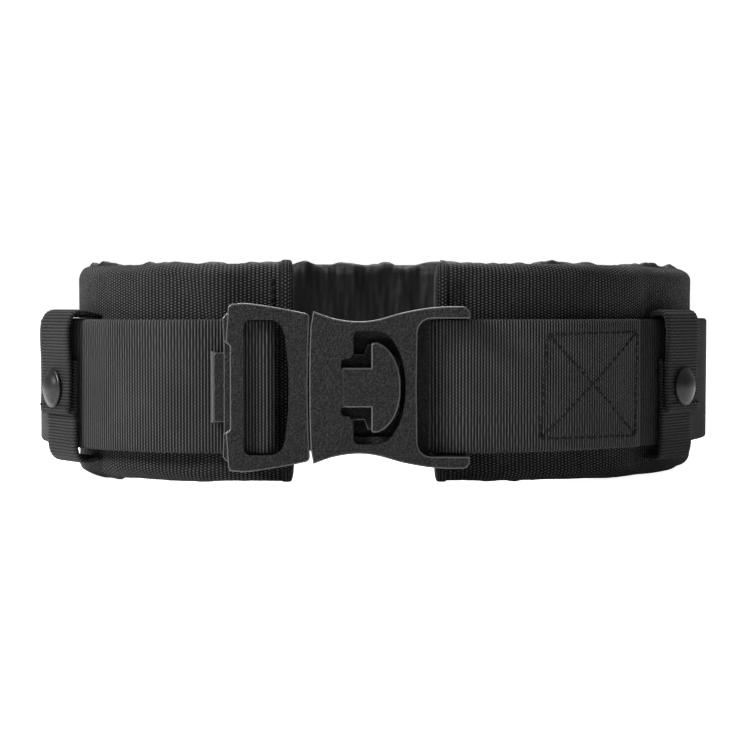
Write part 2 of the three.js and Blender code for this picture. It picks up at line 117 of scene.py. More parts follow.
def face_ring(name, z, inner, count=900):
    """Points of a node's innermost or outermost wall at a height, clockwise from above."""
    found = []
    for i in range(count):
        a = -math.pi / 2 - 2 * math.pi * (i + 0.5) / count
        ray = Vector((math.cos(a), math.sin(a), 0))
        start = Vector((0, 0, z)) if inner else Vector((0, 0, z)) + ray * 0.4
        p = hit(name, start, ray if inner else -ray)
        if p and p.dot(ray) > 0.03:
            found.append(p)
    return found


def box_mid(name):
    a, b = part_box(name)
    return (Vector(a) + Vector(b)) / 2


web_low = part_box("main_webbing")[0][2]
web_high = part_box("main_webbing")[1][2]
web_mid = (web_low + web_high) / 2


# ---- curves ----
def resample(points, step):
    """The same line with even spacing, as a numpy array, and the distances along it."""
    p = np.array([list(q) for q in points], float)
    d = np.concatenate([[0], np.cumsum(np.linalg.norm(np.diff(p, axis=0), axis=1))])
    count = max(int(round(d[-1] / step)), 2)
    s = np.linspace(0, d[-1], count + 1)
    return np.stack([np.interp(s, d, p[:, k]) for k in range(3)], axis=1), s


def soften(p, rounds):
    """The line with each point moved towards its neighbours, and its ends kept."""
    q = p.copy()
    for _ in range(rounds):
        q[1:-1] = q[1:-1] * 0.5 + (q[:-2] + q[2:]) * 0.25
    return q


def tangents(p):
    t = np.gradient(p, axis=0)
    return t / np.linalg.norm(t, axis=1)[:, None]


def outwards(line):
    """Unit vectors in plan that point out of a line that runs clockwise seen from above."""
    t = tangents(line)
    return np.stack([-t[:, 1], t[:, 0], t[:, 2] * 0], axis=1)


def offset(line, distance):
    return line + outwards(line) * distance


def between(p0, p1, p2, p3, t):
    """The place at a share t of the way from p1 to p2, on a smooth curve through all four."""
    bend = (2 * p0 - 5 * p1 + 4 * p2 - p3) * t * t
    return 0.5 * (2 * p1 + (p2 - p0) * t + bend + (3 * p1 - p0 - 3 * p2 + p3) * t ** 3)


def near_index(line, x, y):
    return int(np.argmin(np.hypot(line[:, 0] - x, line[:, 1] - y)))


def smooth_noise(count, step, seed):
    """Even random values between -1 and 1, blended smoothly over step samples."""
    local = np.random.default_rng(seed)
    knots = local.uniform(-1, 1, count // step + 3)
    x = np.arange(count) / step
    i = x.astype(int)
    f = x - i
    f = f * f * (3 - 2 * f)
    return knots[i] * (1 - f) + knots[i + 1] * f


# ---- meshes ----
def add_object(name, data):
    o = bpy.data.objects.new(name, data)
    bpy.context.scene.collection.objects.link(o)
    return o


def add_mesh(name, verts, faces, material, smooth=False):
    mesh = bpy.data.meshes.new(name)
    mesh.from_pydata(verts, [], faces)
    mesh.polygons.foreach_set("use_smooth", [smooth] * len(mesh.polygons))
    mesh.materials.append(material)
    mesh.validate()
    return add_object(name, mesh)


def soft_edges(o, width):
    """Rounds a piece's sharp edges, by a width in millimetres."""
    bevel = o.modifiers.new("soft edges", "BEVEL")
    bevel.width = width * MM
    bevel.segments = 2
    bevel.limit_method = "ANGLE"
    bevel.angle_limit = math.radians(40)


def grid(name, rows, u, v, material, closed=False, caps=False):
    """A mesh over rows[i][j], with uv in millimetres. closed joins the last column to the first."""
    nu, nv = rows.shape[:2]
    faces = []
    uvs = []
    span = nv if closed else nv - 1
    v_end = list(v) + [v[-1] + (v[-1] - v[-2])]
    for i in range(nu - 1):
        for j in range(span):
            k = (j + 1) % nv
            faces.append((i * nv + j, i * nv + k, (i + 1) * nv + k, (i + 1) * nv + j))
            uvs += [(u[i], v_end[j]), (u[i], v_end[j + 1])]
            uvs += [(u[i + 1], v_end[j + 1]), (u[i + 1], v_end[j])]
    if caps:
        for i, turn in ((0, -1), (nu - 1, 1)):
            loop = [i * nv + j for j in range(nv)][::turn]
            faces.append(tuple(loop))
            uvs += [(u[i], v[j % nv]) for j in range(nv)][::turn]
    mesh = bpy.data.meshes.new(name)
    mesh.from_pydata([tuple(p) for p in rows.reshape(-1, 3)], [], faces)
    layer = mesh.uv_layers.new(name="mm")
    layer.data.foreach_set("uv", np.array(uvs, np.float32).ravel())
    mesh.polygons.foreach_set("use_smooth", [True] * len(mesh.polygons))
    mesh.materials.append(material)
    mesh.validate()
    mesh.update()
    return add_object(name, mesh)


def sweep(name, points, across, width, thick, material, seed=1, wave=0.12):
    """Webbing along a line: ribs across its width, rounded selvedges and a slight waviness."""
    step = RIB / 2
    p = soften(resample(points, step)[0], 8)
    n = len(p)
    w = np.array([list(across)] * n)
    normal = np.cross(tangents(p), w)
    normal /= np.linalg.norm(normal, axis=1)[:, None]
    half = width / 2
    t = thick / 2
    flats = np.linspace(-1, 1, 11) * (half - t)
    ring = [(x, t) for x in flats]
    ring += [(half - t + t * math.sin(a), t * math.cos(a)) for a in (0.8, 1.57, 2.34)]
    ring += [(x, -t) for x in flats[::-1]]
    ring += [(-half + t - t * math.sin(a), -t * math.cos(a)) for a in (0.8, 1.57, 2.34)]
    across_mm = np.array([r[0] for r in ring])
    out_mm = np.array([r[1] for r in ring])
    high_rib = (np.arange(n) % 2) * 0.26 * MM - 0.13 * MM
    drift = smooth_noise(n, 40, seed) * wave * MM
    lean = smooth_noise(n, 60, seed + 5) * wave * MM
    rows = np.zeros((n, len(ring), 3))
    for j, (x, y) in enumerate(ring):
        bump = np.sign(y) * high_rib if abs(y) > t * 0.9 else high_rib * 0
        edge = high_rib * np.sign(x) * 0.8 if abs(x) > half - t else high_rib * 0
        side = x + edge
        rows[:, j] = p + w * side[:, None] + normal * (y + bump + drift + lean * x / half)[:, None]
    u = np.arange(n) * step / MM
    v = np.concatenate([[0], np.cumsum(np.hypot(np.diff(across_mm), np.diff(out_mm)))]) / MM
    return grid(name, rows[:, ::-1], u, v, material, closed=True, caps=True)


# ---- materials ----
class Graph:
    """Short helpers for joining shader nodes."""

    def __init__(self, node_tree):
        self.tree = node_tree

    def new(self, kind, **values):
        n = self.tree.nodes.new(kind)
        for key, value in values.items():
            setattr(n, key, value)
        return n

    def link(self, a, b):
        self.tree.links.new(a, b)

    def put(self, socket, value):
        if isinstance(value, bpy.types.NodeSocket):
            self.link(value, socket)
        else:
            socket.default_value = value

    def math(self, operation, a, b=0.0, c=0.0):
        n = self.new("ShaderNodeMath", operation=operation)
        for socket, value in zip(n.inputs, (a, b, c)):
            self.put(socket, value)
        return n.outputs[0]

    def uv(self):
        n = self.new("ShaderNodeUVMap", uv_map="mm")
        parts = self.new("ShaderNodeSeparateXYZ")
        self.link(n.outputs[0], parts.inputs[0])
        return parts.outputs[0], parts.outputs[1], n.outputs[0]

    def noise(self, vector, scale, detail=3.0, rough=0.5):
        n = self.new("ShaderNodeTexNoise")
        if vector is not None:
            self.link(vector, n.inputs["Vector"])
        n.inputs["Scale"].default_value = scale
        n.inputs["Detail"].default_value = detail
        n.inputs["Roughness"].default_value = rough
        return n.outputs["Fac"]

    def mix(self, factor, a, b):
        n = self.new("ShaderNodeMix", data_type="RGBA")
        self.put(n.inputs["Factor"], factor)
        self.put(n.inputs[6], a)
        self.put(n.inputs[7], b)
        return n.outputs[2]

    def bump(self, height, distance, strength=1.0, normal=None):
        n = self.new("ShaderNodeBump")
        self.link(height, n.inputs["Height"])
        n.inputs["Distance"].default_value = distance
        n.inputs["Strength"].default_value = strength
        if normal is not None:
            self.link(normal, n.inputs["Normal"])
        return n.outputs[0]

    def wave(self, value, period, shift=0.0):
        """A cosine between 0 and 1."""
        turned = self.math("MULTIPLY_ADD", value, 2 * math.pi / period, shift)
        return self.math("MULTIPLY_ADD", self.math("COSINE", turned), 0.5, 0.5)


def node_material(name):
    """A new material with its graph and its main shader."""
    m = bpy.data.materials.new(name)
    m.use_nodes = True
    bsdf = next(n for n in m.node_tree.nodes if n.type == "BSDF_PRINCIPLED")
    return m, Graph(m.node_tree), bsdf


CLOTH_TINT = (1.0, 1.0, 0.98)
NEUTRAL = (1.0, 1.0, 1.0)


def grey(value, tint=CLOTH_TINT):
    return (value * tint[0], value * tint[1], value * tint[2], 1)


def woven(name, pu, pv, dark, light, rough, depth, sheen=0.15):
    """Cloth with a small yarn pattern: yarns of pu by pv millimetres, each row shifted by half; its
    colour is lighter on the yarns' tops as a painted highlight and darker in the gaps as painted shade.
    """
    m, g, bsdf = node_material(name)
    u, v, both = g.uv()
    column = g.math("FLOOR", g.math("DIVIDE", u, pu))
    shift = g.math("MULTIPLY", column, math.pi)
    yarn = g.math("MULTIPLY", g.wave(u, pu, math.pi), g.wave(v, pv, shift))
    patch = g.noise(both, 0.09, 4, 0.6)
    fuzz = g.noise(both, 3.1, 2)
    height = g.math("MULTIPLY_ADD", fuzz, 0.25, yarn)
    # painted highlight on the yarns' tops and painted shade in the gaps between them, over a random
    # tone in large patches
    tone = g.math("MULTIPLY_ADD", g.math("SUBTRACT", patch, 0.5), 0.2, g.math("POWER", yarn, 1.3))
    colour = g.mix(tone, grey(dark), grey(light))
    g.link(colour, bsdf.inputs["Base Color"])
    g.put(bsdf.inputs["Roughness"], g.math("MULTIPLY_ADD", fuzz, 0.15, rough))
    bsdf.inputs["Specular IOR Level"].default_value = 0.12
    bsdf.inputs["Sheen Weight"].default_value = sheen * 0.4
    bsdf.inputs["Sheen Roughness"].default_value = 0.4
    g.link(g.bump(height, depth * MM), bsdf.inputs["Normal"])
    return m


def ribbed(name, dark, light, rough):
    """Webbing: a rib across the width every RIB, each one crossed by fine yarns; its colour holds a
    painted highlight on the ribs' crests, painted shade in the grooves and painted shade from the shade
    attribute.
    """
    m, g, bsdf = node_material(name)
    u, v, both = g.uv()
    pitch = RIB / MM
    row = g.math("FLOOR", g.math("DIVIDE", u, pitch))
    rib = g.wave(u, pitch, math.pi)
    bead = g.wave(v, 1.3, g.math("MULTIPLY", row, math.pi))
    fuzz = g.noise(both, 2.6, 3, 0.6)
    patch = g.noise(both, 0.05, 4, 0.6)
    # painted highlight and shade: the colour is lighter on the ribs' crests and the yarns' beads and
    # darker in the grooves between them; the same values give the bump
    crest = g.math("POWER", rib, 2.2)
    painted_rib_highlight_and_relief = g.math("MULTIPLY", crest, g.math("MULTIPLY_ADD", bead, 0.4, 0.6))
    tone = g.math("MULTIPLY_ADD", g.math("SUBTRACT", patch, 0.5), 0.25, painted_rib_highlight_and_relief)
    tone = g.math("MULTIPLY_ADD", g.math("SUBTRACT", fuzz, 0.5), 0.35, tone)
    # painted shade: the shade attribute darkens the strap past the sewn end, where the layer over it
    # shades it
    shade = g.new("ShaderNodeAttribute", attribute_name="shade").outputs["Fac"]
    tone = g.math("MULTIPLY", tone, g.math("SUBTRACT", 1, shade))
    g.link(g.mix(tone, grey(dark), grey(light)), bsdf.inputs["Base Color"])
    bsdf.inputs["Roughness"].default_value = rough
    bsdf.inputs["Specular IOR Level"].default_value = 0.12
    bsdf.inputs["Sheen Weight"].default_value = 0.06
    height = g.math("MULTIPLY_ADD", fuzz, 0.2, painted_rib_highlight_and_relief)
    g.link(g.bump(height, 0.4 * MM), bsdf.inputs["Normal"])
    return m


def lining_material():
    """Thin shiny nylon with a fine weave and long creases, its colour darker in the creases' hollows as
    painted shade and lighter on their ridges as a painted highlight.
    """
    m, g, bsdf = node_material("lining nylon")
    u, v, _ = g.uv()
    weave = g.math("MULTIPLY", g.wave(u, 0.45), g.wave(v, 0.45))
    tall = g.new("ShaderNodeCombineXYZ")
    g.link(u, tall.inputs[0])
    g.put(tall.inputs[1], g.math("MULTIPLY", v, 0.3))
    folds = g.noise(tall.outputs[0], 0.1, 2, 0.45)
    # painted shade and highlight: the colour follows the same creases as the bump, darker in their
    # hollows
    g.link(g.mix(folds, grey(0.0015), grey(0.008)), bsdf.inputs["Base Color"])
    bsdf.inputs["Roughness"].default_value = 0.5
    bsdf.inputs["Specular IOR Level"].default_value = 0.2
    soft = g.bump(folds, 5 * MM, 0.8)
    g.link(g.bump(weave, 0.05 * MM, 0.6, soft), bsdf.inputs["Normal"])
    return m


def plastic_material():
    """Moulded plastic: sparked grain on its flat faces, whose light specks are partly painted glints,
    and polished edges whose lighter colour is a painted highlight.
    """
    m, g, bsdf = node_material("buckle plastic")
    place = g.new("ShaderNodeTexCoord")
    parts = g.new("ShaderNodeSeparateXYZ")
    g.link(place.outputs["Normal"], parts.inputs[0])
    facing = g.math("ABSOLUTE", parts.outputs[1])
    level = g.math("MAXIMUM", g.math("MULTIPLY_ADD", facing, 20, -19), 0)
    flat = g.math("SMOOTH_MIN", level, 1, 0.1)
    grain = g.noise(place.outputs["Object"], 1500, 2, 0.6)
    sharp = g.math("MULTIPLY_ADD", g.math("SUBTRACT", grain, 0.5), 4.2, 0.3)
    sharp = g.math("MINIMUM", g.math("MAXIMUM", sharp, 0), 1)
    marks = g.noise(place.outputs["Object"], 90, 4, 0.6)
    # grain and painted glints: the grain's light specks are partly its own tone and partly painted
    # glints, mostly on flat faces
    grain_and_painted_glints = g.math("MULTIPLY", sharp, g.math("MULTIPLY_ADD", flat, 0.8, 0.1))
    # painted highlight: bevels turned partly towards the front get a lighter colour
    turned = g.math("MAXIMUM", g.math("MULTIPLY_ADD", facing, 5, -1.2), 0)
    turned = g.math("MINIMUM", turned, 1)
    edge = g.math("MULTIPLY", turned, g.math("SUBTRACT", 1, flat))
    colour = g.mix(grain_and_painted_glints, grey(0.003, NEUTRAL), grey(0.026, NEUTRAL))
    g.link(g.mix(edge, colour, grey(0.055, NEUTRAL)), bsdf.inputs["Base Color"])
    rough = g.math("MULTIPLY_ADD", flat, 0.16, 0.24)
    g.put(bsdf.inputs["Roughness"], g.math("MULTIPLY_ADD", marks, 0.08, rough))
    g.put(bsdf.inputs["Specular IOR Level"], g.math("MULTIPLY_ADD", flat, -0.42, 0.6))
    g.link(g.bump(grain_and_painted_glints, 0.34 * MM), bsdf.inputs["Normal"])
    return m


def metal_material():
    """Blackened metal, a little worn."""
    m, g, bsdf = node_material("snap metal")
    place = g.new("ShaderNodeTexCoord")
    wear = g.noise(place.outputs["Object"], 260, 4, 0.6)
    g.link(g.mix(wear, grey(0.02), grey(0.05)), bsdf.inputs["Base Color"])
    bsdf.inputs["Metallic"].default_value = 0.75
    g.put(bsdf.inputs["Roughness"], g.math("MULTIPLY_ADD", wear, 0.2, 0.22))
    g.link(g.bump(wear, 0.05 * MM, 0.4), bsdf.inputs["Normal"])
    return m


def thread_material():
    """Twisted black thread."""
    m, g, bsdf = node_material("thread")
    place = g.new("ShaderNodeTexCoord")
    twist = g.noise(place.outputs["Object"], 2400, 2)
    g.link(g.mix(twist, grey(0.0015), grey(0.012)), bsdf.inputs["Base Color"])
    bsdf.inputs["Specular IOR Level"].default_value = 0.15
    bsdf.inputs["Roughness"].default_value = 0.6
    g.link(g.bump(twist, 0.1 * MM), bsdf.inputs["Normal"])
    return m


cover_cloth = woven("ballistic nylon", 1.5, 1.1, 0.0006, 0.085, 0.62, 0.3)
strap_cloth = ribbed("ribbed webbing", 0.0002, 0.105, 0.55)
# the keepers' webbing is the strap's ribbed webbing with a darker light colour, as painted shade
keeper_cloth = ribbed("keeper webbing", 0.0002, 0.034, 0.6)
lining_cloth = lining_material()
plastic = plastic_material()
metal = metal_material()
thread = thread_material()


def finish_piece(o, body, slot_name, *replaced):
    """Hides the CAD nodes that a piece stands for and gives it the body it rides on; slot_name is not
    used.
    """
    if replaced:
        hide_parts(*replaced)
    if body:
        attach(o, body)
    return o


# ---- pad ----
MEASURE_Z = 40 * MM  # the pad's outline is measured at this height
END_INSET = 2.4 * MM  # the pad's line stops this far short of the end folds' front ends
pad_ring = face_ring("pad_outer_cover", MEASURE_Z, inner=False)
left_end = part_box("pad_end_fold_left")
right_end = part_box("pad_end_fold_right")
front_y = low.y + 30 * MM


def not_in_gap(p):
    return p.y > front_y or p.x < left_end[0][0] or p.x > right_end[1][0]


pad_line = [p for p in pad_ring if not_in_gap(p)]
pad_line = [Vector((left_end[1][0] - END_INSET, left_end[0][1], MEASURE_Z))] + pad_line
pad_line = pad_line + [Vector((right_end[0][0] + END_INSET, right_end[0][1], MEASURE_Z))]
pad_path = soften(resample(pad_line, PAD_STEP)[0], 6)
pad_along = tangents(pad_path)
pad_out = outwards(pad_path)


def edge_heights():
    """The heights of the pad's lower and upper edges along it, from just inside its outer face."""
    low_z, high_z = 1.2 * MM, 83 * MM  # until a ray meets the cover
    lows, highs = [], []
    for p, out in zip(pad_path, pad_out):
        q = Vector(p) - Vector(out) * 5.4 * MM
        down = hit("pad_outer_cover", (q.x, q.y, 0.2), (0, 0, -1))
        up = hit("pad_outer_cover", (q.x, q.y, -0.1), (0, 0, 1))
        high_z = down.z if down else high_z
        low_z = up.z if up else low_z
        highs.append(high_z)
        lows.append(low_z)
    return np.array(lows), np.array(highs)


pad_low, pad_high = edge_heights()


def pad_section(low_z, high_z):
    """Points of (outwards, up) round the pad, from its inner top seam over the outer face."""
    r = PAD_EDGE
    steps = 4
    points = []
    corners = [(-r, high_z - r, 90, 0), (-r, low_z + r, 0, -90)]
    corners += [(-PAD_THICK + r, low_z + r, -90, -180), (-PAD_THICK + r, high_z - r, 180, 90)]
    for k, (x, z, a0, a1) in enumerate(corners):
        for i in range(steps + 1):
            a = math.radians(a0 + (a1 - a0) * i / steps)
            points.append((x + r * math.cos(a), z + r * math.sin(a)))
        if k in (0, 2):
            z1 = low_z + r if k == 0 else high_z - r
            for i in range(1, 16):
                points.append((points[-1][0], z + (z1 - z) * i / 16))
    return points


def pad_grid():
    """The pad's surface before it is stuffed: one section at each point of its path."""
    rows = []
    for p, out, a, b in zip(pad_path, pad_out, pad_low, pad_high):
        section = pad_section(a, b)
        rows.append([p + out * x + np.array([0, 0, z - p[2]]) for x, z in section])
    return np.array(rows)


def inflate(rows):
    """The stuffed pad: a cloth simulation under light pressure, held along its seams."""
    nu, nv = rows.shape[:2]
    o = grid("pad cloth", rows, np.arange(nu), np.arange(nv), cover_cloth, closed=True, caps=True)
    held = o.vertex_groups.new(name="held")
    for i in range(nu):
        for j in range(nv):
            ends = i < 2 or i > nu - 3
            seam = j in (nv - 1, 0, HALF_SECTION - 1, HALF_SECTION)
            if ends or seam:
                held.add([i * nv + j], 1.0, "REPLACE")
    cloth = o.modifiers.new("cloth", "CLOTH")
    s = cloth.settings
    s.vertex_group_mass = "held"
    s.quality = 5
    s.mass = 0.3
    s.tension_stiffness = 12
    s.compression_stiffness = 6
    s.bending_stiffness = 0.6
    s.shrink_min = -0.02
    s.use_pressure = True
    s.uniform_pressure_force = 4.0
    s.effector_weights.gravity = 0
    cloth.point_cache.frame_start = 1
    cloth.point_cache.frame_end = 20
    scene = bpy.context.scene
    for f in range(1, 21):
        scene.frame_set(f)
    shaped = o.evaluated_get(bpy.context.evaluated_depsgraph_get())
    co = np.zeros(len(shaped.data.vertices) * 3)
    shaped.data.vertices.foreach_get("co", co)
    scene.frame_set(1)
    bpy.data.objects.remove(o)
    moved = co.reshape(rows.shape) - rows
    for _ in range(3):
        moved[1:-1] = moved[1:-1] * 0.5 + (moved[:-2] + moved[2:]) * 0.25
        moved = moved * 0.5 + (np.roll(moved, 1, axis=1) + np.roll(moved, -1, axis=1)) * 0.25
    size = np.linalg.norm(moved, axis=2)[..., None]
    cap = 1.2 * MM
    return rows + moved * np.minimum(1, cap / np.maximum(size, 1e-9))


def refine(rows, fu, fv, closed):
    """The grid with fu and fv times as many steps, on smooth curves through its points."""

    def along(a, factor, wrap):
        n = a.shape[0]
        out = []
        for i in range(n if wrap else n - 1):
            places = [i - 1, i, i + 1, i + 2]
            p0, p1, p2, p3 = (a[k % n] if wrap else a[min(max(k, 0), n - 1)] for k in places)
            out += [between(p0, p1, p2, p3, k / factor) for k in range(factor)]
        if not wrap:
            out.append(a[-1])
        return np.array(out)

    wide = along(rows, fu, False)
    return along(wide.transpose(1, 0, 2), fv, closed).transpose(1, 0, 2)


def outward(rows):
    """The grid's own normals."""
    du = np.gradient(rows, axis=0)
    dv = np.gradient(rows, axis=1)
    n = np.cross(du, dv)
    return n / np.maximum(np.linalg.norm(n, axis=2)[..., None], 1e-12)


def seam_taper(nv):
    """Nothing at both seams, rising to one over a few rows, so that joined edges stay joined."""
    j = np.arange(nv)
    return np.clip(np.minimum(j, nv - 1 - j) / 3, 0, 1)


def gathers(rows, top_rows, depth, seed, reach):
    """Adds puckers that fade away from the seam rows at both ends of each section."""
    nu, nv = rows.shape[:2]
    n = outward(rows)
    push = np.zeros((nu, nv))
    for row in top_rows:
        folds = smooth_noise(nu, 4, seed + row) + 0.6 * smooth_noise(nu, 2, seed + row + 9)
        fade = np.exp(-((np.arange(nv) - row) / reach) ** 2)
        push += folds[:, None] * fade[None, :] * depth
    return rows + n * (push * seam_taper(nv))[..., None]


def creases(nu, nv):
    """Folds of the loose lining: they lean both ways down from the top seam and fade out."""
    push = np.zeros((nu, nv))
    for seed, lean in ((77, 0.25), (78, -0.3)):
        folds = smooth_noise(nu, 7, seed)
        for j in range(nv):
            fade = 0.25 + 0.75 * (j / (nv - 1)) ** 2
            push[:, j] += np.roll(folds, int(lean * (nv - 1 - j))) * fade
    return push * seam_taper(nv) * 0.9 * MM


def build_pad():
    """Makes the stuffed cover and the gathered lining, and returns the smooth surface under both."""
    base = pad_grid()
    base = inflate(base)
    fine = refine(base, FINE, FINE, True)
    half = HALF_SECTION * FINE
    cover = fine[:, : half + 1]
    lining = np.concatenate([fine[:, half:], fine[:, :1]], axis=1)
    u = np.arange(fine.shape[0]) * PAD_STEP / FINE / MM

    def lengths(part):
        mid = part[part.shape[0] // 2]
        d = np.linalg.norm(np.diff(mid, axis=0), axis=1)
        return np.concatenate([[0], np.cumsum(d)]) / MM

    last = cover.shape[1] - 1
    cover = gathers(cover, (2, last - 2), 0.10 * MM, 11, 5)
    o = grid("pad_cover", cover, u, lengths(cover), cover_cloth)
    finish_piece(o, "belt", "ballistic_nylon", "pad_outer_cover", "pad_foam_core")
    last = lining.shape[1] - 1
    lining = gathers(lining, (2, last - 2), 0.55 * MM, 31, 8)
    lining = lining + outward(lining) * creases(lining.shape[0], last + 1)[..., None]
    o = grid("pad_lining", lining, u, lengths(lining), lining_cloth)
    finish_piece(o, "belt", "lining_nylon", "pad_inner_lining")
    return fine


pad_surface = build_pad()


# ---- pad ends: the cover folded over and stitched down ----
# Steps over the fold: millimetres ahead of the pad's end, the ring's size, and how far it stands out.
FOLD_STEPS = [(-2.2, 1.0, 0.05), (-2.1, 1.0, 0.3), (-1.2, 1.0, 0.4), (0.2, 1.0, 0.38), (1.0, 1.0, 0.2),
              (1.5, 0.995, -0.3), (1.9, 0.97, -1.2), (2.1, 0.93, -2.4), (2.2, 0.80, -3.0),
              (2.2, 0.3, -3.0)]
FOLD_LENGTH = 14  # millimetres of cloth over the fold, and round the pad's end
FOLD_ROUND = 185


def pad_end(name, end_index, direction, replaced):
    """One end of the pad: the cover's cloth drawn over it from the pad's last section."""
    ring = pad_surface[end_index]
    along = Vector(pad_along[end_index]) * direction
    centre = Vector(ring.mean(axis=0))
    wobble = smooth_noise(len(ring), 7, 91 + end_index) * 0.25
    rows = []
    for ahead, scale, puff in FOLD_STEPS:
        line = []
        for k, p in enumerate(ring):
            d = Vector(p) - centre
            flat = d - along * d.dot(along)
            unit = flat.normalized()
            place = centre + flat * scale + unit * (puff + wobble[k]) * MM
            line.append(list(place + along * (ahead * MM + d.dot(along))))
        rows.append(line)
    rows = refine(np.array(rows), FINE, 1, True)
    if direction > 0:
        rows = rows[:, ::-1]
    u = np.linspace(0, FOLD_LENGTH, rows.shape[0])
    v = np.linspace(0, FOLD_ROUND, rows.shape[1])
    o = grid(name, rows, u, v, cover_cloth, closed=True, caps=True)
    finish_piece(o, "belt", "ballistic_nylon", replaced)


pad_end("left_end_fold", 0, -1, "pad_end_fold_left")
pad_end("right_end_fold", -1, 1, "pad_end_fold_right")


# ---- thread ----
def stitches(name, places, body="belt", length=2.3, radius=0.4):
    """Short threads, each given by its middle, its direction and the cloth's normal."""
    sides = 6
    verts, faces = [], []
    shape = [(-0.5, -0.9), (-0.42, 0.1), (-0.2, 0.7), (0.2, 0.7), (0.42, 0.1), (0.5, -0.9)]
    for middle, direction, normal in places:
        d = Vector(direction).normalized()
        n = Vector(normal).normalized()
        b = d.cross(n).normalized()
        first = len(verts)
        r = radius * MM
        for along, lift in shape:
            c = Vector(middle) + d * along * length * MM + n * lift * r
            for k in range(sides):
                a = 2 * math.pi * k / sides
                verts.append(c + b * math.cos(a) * r + n * math.sin(a) * r * 0.8)
        for i in range(len(shape) - 1):
            for k in range(sides):
                m = (k + 1) % sides
                q = first + i * sides
                faces.append((q + k, q + m, q + sides + m, q + sides + k))
        faces.append([first + k for k in range(sides)][::-1])
        faces.append([first + (len(shape) - 1) * sides + k for k in range(sides)])
    finish_piece(add_mesh(name, verts, faces, thread, smooth=True), body, "webbing")


def stitch_line(a, b, surface, pitch=2.8):
    """Stitches from a to b in the plane of a sheet that surface(s, z) describes."""
    (s0, z0), (s1, z1) = a, b
    count = max(int(math.hypot(s1 - s0, z1 - z0) / (pitch * MM)), 1)
    places = []
    for i in range(count):
        t = (i + 0.5) / count
        here = [s0 + (s1 - s0) * t, z0 + (z1 - z0) * t]
        here[0] += random.uniform(-0.1, 0.1) * MM
        here[1] += random.uniform(-0.1, 0.1) * MM
        p, n = surface(*here)
        q, _ = surface(here[0] + (s1 - s0) / count * 0.3, here[1] + (z1 - z0) / count * 0.3)
        places.append((p, q - p, n))
    return places


def fold_stitches(name, index, direction):
    """A row of stitches down the front of a pad end, where the folded cover is sewn."""
    along = Vector(pad_along[index]) * direction
    out = Vector(pad_out[index])
    front = max(Vector(p).dot(out) for p in pad_surface[index])
    at = Vector(pad_path[index])
    places = []
    z = pad_low[index] + PAD_EDGE
    while z < pad_high[index] - PAD_EDGE:
        p = at + out * (front - at.dot(out) + 0.15 * MM) - along * 5.5 * MM
        places.append((Vector((p.x, p.y, z)), UP, out))
        z += 3.0 * MM
    stitches(name, places)


fold_stitches("left_fold_stitches", 0, -1)
fold_stitches("right_fold_stitches", -1, 1)


# ---- webbing ----
inner_ring = face_ring("main_webbing", web_mid, inner=True)
FRONT_OPENING = 42 * MM  # nothing nearer the middle of the front belongs to the run


def centreline():
    """The main run's middle, clockwise from the adjuster to the housing."""
    points = [p for p in inner_ring if p.y >= front_y or abs(p.x) >= FRONT_OPENING]
    start = next(i for i, p in enumerate(points) if p.x < -FRONT_OPENING)
    line = np.array([list(p) for p in points[start:] + points[:start]])
    return offset(line, WEB_THICK / 2 + 0.05 * MM)


run_line = centreline()
front_run = run_line[0][1]
outer_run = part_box("main_webbing")[0][1] + 1.0 * MM
turn_y = (front_run + outer_run) / 2
turn_radius = (front_run - outer_run) / 2
turn_x = hit("main_webbing", (0.0, turn_y, web_mid), (1, 0, 0)).x + 1.0 * MM + turn_radius


def at_web(x, y):
    return Vector((x, y, web_mid))


def half_turn(x, y, radius, first):
    """Half a circle in plan at the webbing's height, anticlockwise from an angle."""
    angles = [first + math.pi * i / 10 for i in range(11)]
    return [at_web(x + radius * math.cos(a), y + radius * math.sin(a)) for a in angles]


def shade_beyond(o, line, end_index, reach):
    """Darkens the strap over a reach in millimetres past the sewn end, where that layer shades it."""
    shade = o.data.attributes.new("shade", "FLOAT", "POINT")
    plan = line[:, :2]
    t = tangents(line)
    for i, v in enumerate(o.data.vertices):
        j = near_index(line, v.co.x, v.co.y)
        past = (end_index - j) * RUN_STEP / MM - (np.array(v.co - Vector(line[j])) * t[j]).sum() / MM
        stands = np.dot(np.array([v.co.x, v.co.y]) - plan[j], [-t[j, 1], t[j, 0]]) / MM
        if 0 < past < reach and stands < 1.3:
            shade.data[i].value = 0.6 * min(1, past / 0.6) * min(1, (reach - past) / 4)


RUN_STEP = 3 * MM
smooth_run = soften(resample(run_line, RUN_STEP)[0], 5)
layer_line = offset(smooth_run, LAYER)

# The strap: from the adjuster round the body, through the housing and back over itself.
run_end = near_index(smooth_run, RUN_END_X, front_run)
sewn_index = near_index(layer_line, *SEWN_END)
return_index = near_index(layer_line, RETURN_START_X, front_run)
main = [at_web(STRAP_START_X, front_run), at_web(STRAP_START_X - 6 * MM, front_run)]
main += [Vector(p) for p in smooth_run[2:run_end]]
main += [at_web(turn_x + 6 * MM, front_run)] + half_turn(turn_x, turn_y, turn_radius, math.pi / 2)
main += [at_web(turn_x + 10 * MM, outer_run + 0.2 * MM)]
back_run = [Vector(p) for p in layer_line[sewn_index:return_index + 1]][::-1]
o = sweep("strap_main", main + back_run, UP, WEB_WIDTH, WEB_THICK, strap_cloth, seed=3)
shade_beyond(o, smooth_run, sewn_index, 26)
finish_piece(o, "belt", "webbing", "main_webbing")
strap_turn = min(v.co.x for v in o.data.vertices if v.co.x > 0.01 and v.co.y < front_run + 2 * MM)

